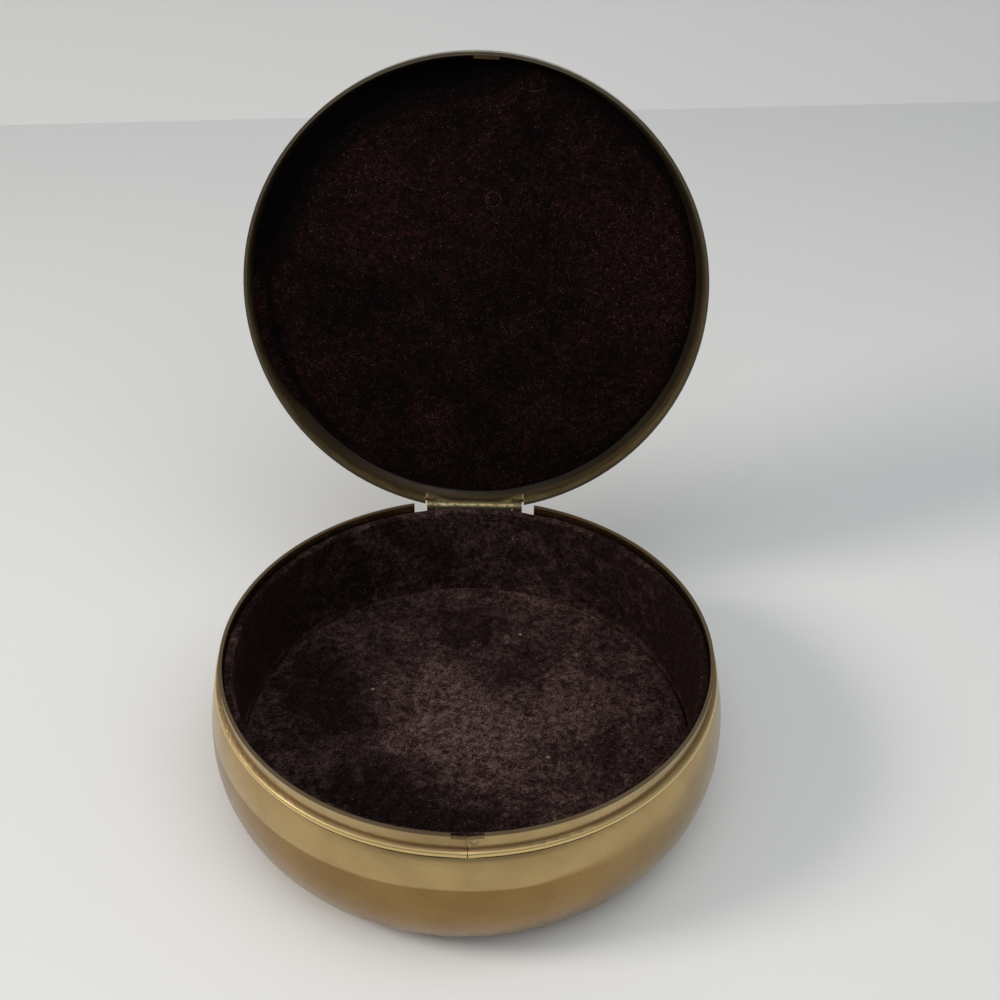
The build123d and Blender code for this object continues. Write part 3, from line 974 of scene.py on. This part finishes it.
# %% Edge of the lid cushion
wall_radius = -lid_velvet_box[0].x
turned_low = lid_velvet_box[0].z
turned_middle = math.radians(195)
turned_half = math.radians(51.75)
cut_radius = 61.4 * mm
cut_shift = 0.9 * mm
stretched = 4.0 * mm
bent = 2.2 * mm
for vertex in lid_pad.data.vertices:
    point = vertex.co
    out = max(math.hypot(point.x, point.y), mm)
    angle = math.atan2(point.y, point.x) % math.tau
    turned = max(0.0, 1 - (abs(angle - turned_middle) / turned_half) ** 6)
    edge_radius = cut_radius - cut_shift * math.sin(angle)
    edge_radius += turned * (wall_radius - 0.05 * mm - edge_radius)
    edge_radius += uneven(point, 8 * mm, 0.15 * mm, 6.0)
    near_edge = max(0.0, (out - lid_radius + stretched) / stretched)
    grow = 1 + min(near_edge, 1.1) ** 2 * (edge_radius - lid_radius) / out
    if point.z < lid_back - 0.5 * mm:
        point.z -= uneven(point, 15 * mm, 0.3 * mm, 2.2) + uneven(point, 2.1 * mm, 0.1 * mm, 9.3)
        up_wall = turned * max(0.0, (out - lid_radius + bent) / bent)
        point.z -= min(up_wall, 1.0) ** 1.5 * (lid_face - turned_low)
        point.z = max(point.z, turned_low + 0.05 * mm)
    point.x *= grow
    point.y *= grow
lid_pad.data.transform(shut_to_open)
softened(lid_pad)
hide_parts("lid_panel_padding", "lid_panel_velvet")
print("the lid's velvet turns up by", round((lid_face - turned_low) / mm, 1), "mm at the left")

# %% [markdown]
# The box stands on a pale sheet that starts to rise behind it. A plain floor with no end would
# fade into the room, so the bend is made where the picture shows a faint line, and the sheet's
# right side is pushed back a little because that line isn't quite level.

# %% Stage
stage_half = 3.0
stage_front = -2.0
stage_bend = 0.158
stage_top = (3.0, 1.2)
stage_shear = 0.653


def stage_sheet():
    """A floor and a slope behind it: a bent line at the left, drawn out to the right."""
    shape = bmesh.new()
    corners = [shape.verts.new((-stage_half, y, 0.0)) for y in (stage_front, stage_bend)]
    corners.append(shape.verts.new((-stage_half, *stage_top)))
    for first, second in zip(corners, corners[1:]):
        shape.edges.new((first, second))
    swept = bmesh.ops.extrude_edge_only(shape, edges=shape.edges[:])
    moved = [v for v in swept["geom"] if isinstance(v, bmesh.types.BMVert)]
    bmesh.ops.translate(shape, verts=moved, vec=(2 * stage_half, stage_shear, 0.0))
    bmesh.ops.recalc_face_normals(shape, faces=shape.faces[:])
    return shape


def paper():
    """A pale paper whose tone drifts a very little."""
    material, shader, start = finish("stage_paper", {"Roughness": 0.75})
    tone = cloud(start, 0.3, detail=2.0)
    feed(shader, "Base Color", tone.mix(srgb(228, 230, 230), srgb(233, 235, 235)))
    return material


stage_mesh = bpy.data.meshes.new("stage")
stage_shape = stage_sheet()
stage_shape.to_mesh(stage_mesh)
stage_shape.free()
stage_mesh.materials.append(paper())
stage = bpy.data.objects.new("stage", stage_mesh)
bpy.context.scene.collection.objects.link(stage)
print("the stage bends", round(stage_bend / mm), "mm behind the middle of the box")

# %% [markdown]
# A single lamp would light the near side of the table far more than the far side, so the key
# lamp's light is made to fade slowly with distance, as a far window's does. A wide soft lamp in
# front draws the long bright line on the bead, because metal only shows what it reflects.

# %% Lamps
key_power = 4.4
front_power = 3.1


def soft_lamp(name, shape, size, power, colour, place, fades=True):
    """A flat lamp that looks at the box. It fades with distance as real light does, or less."""
    data = bpy.data.lights.new(name, "AREA")
    data.shape = shape
    data.size = size
    data.energy = power
    data.color = colour
    if not fades:
        data.use_nodes = True
        start = Wire(data.node_tree, None)
        far = start.node("ShaderNodeLightFalloff", None, {"Strength": 1.0}, "Linear")
        feed(data.node_tree.nodes["Emission"], "Strength", far)
    lamp = bpy.data.objects.new(name, data)
    lamp.location = place
    lamp.rotation_euler = (-lamp.location).to_track_quat("-Z", "Y").to_euler()
    bpy.context.scene.collection.objects.link(lamp)
    print(name, power, "W")


soft_lamp("key", "DISK", 0.32, key_power, (1.0, 0.9, 0.82), (-0.727, -0.206, 0.619), False)
soft_lamp("front", "SQUARE", 0.8, front_power, (1.0, 0.99, 0.97), (0.12, -0.3, 0.75))

# %% [markdown]
# The rest of the light comes from the room. One even grey would make the brass look flat,
# because it would reflect the same tone everywhere, so the room is brighter overhead than at
# the level of the table.

# %% Room
room_power = 0.73
room_low = (0.19, 0.2, 0.208, 1.0)
room_high = (0.46, 0.485, 0.5, 1.0)
world = bpy.data.worlds.new("room")
world.use_nodes = True
bpy.context.scene.world = world
backdrop = world.node_tree.nodes["Background"]
sky = Wire(world.node_tree, None).node("ShaderNodeTexCoord", None, None, "Generated")
overhead = between(sky.part("Z"), -0.1, 0.8)
backdrop.inputs["Strength"].default_value = room_power
feed(backdrop, "Color", overhead.mix(room_low, room_high))
print("the room gives", room_power, "of its colour")

# %% [markdown]
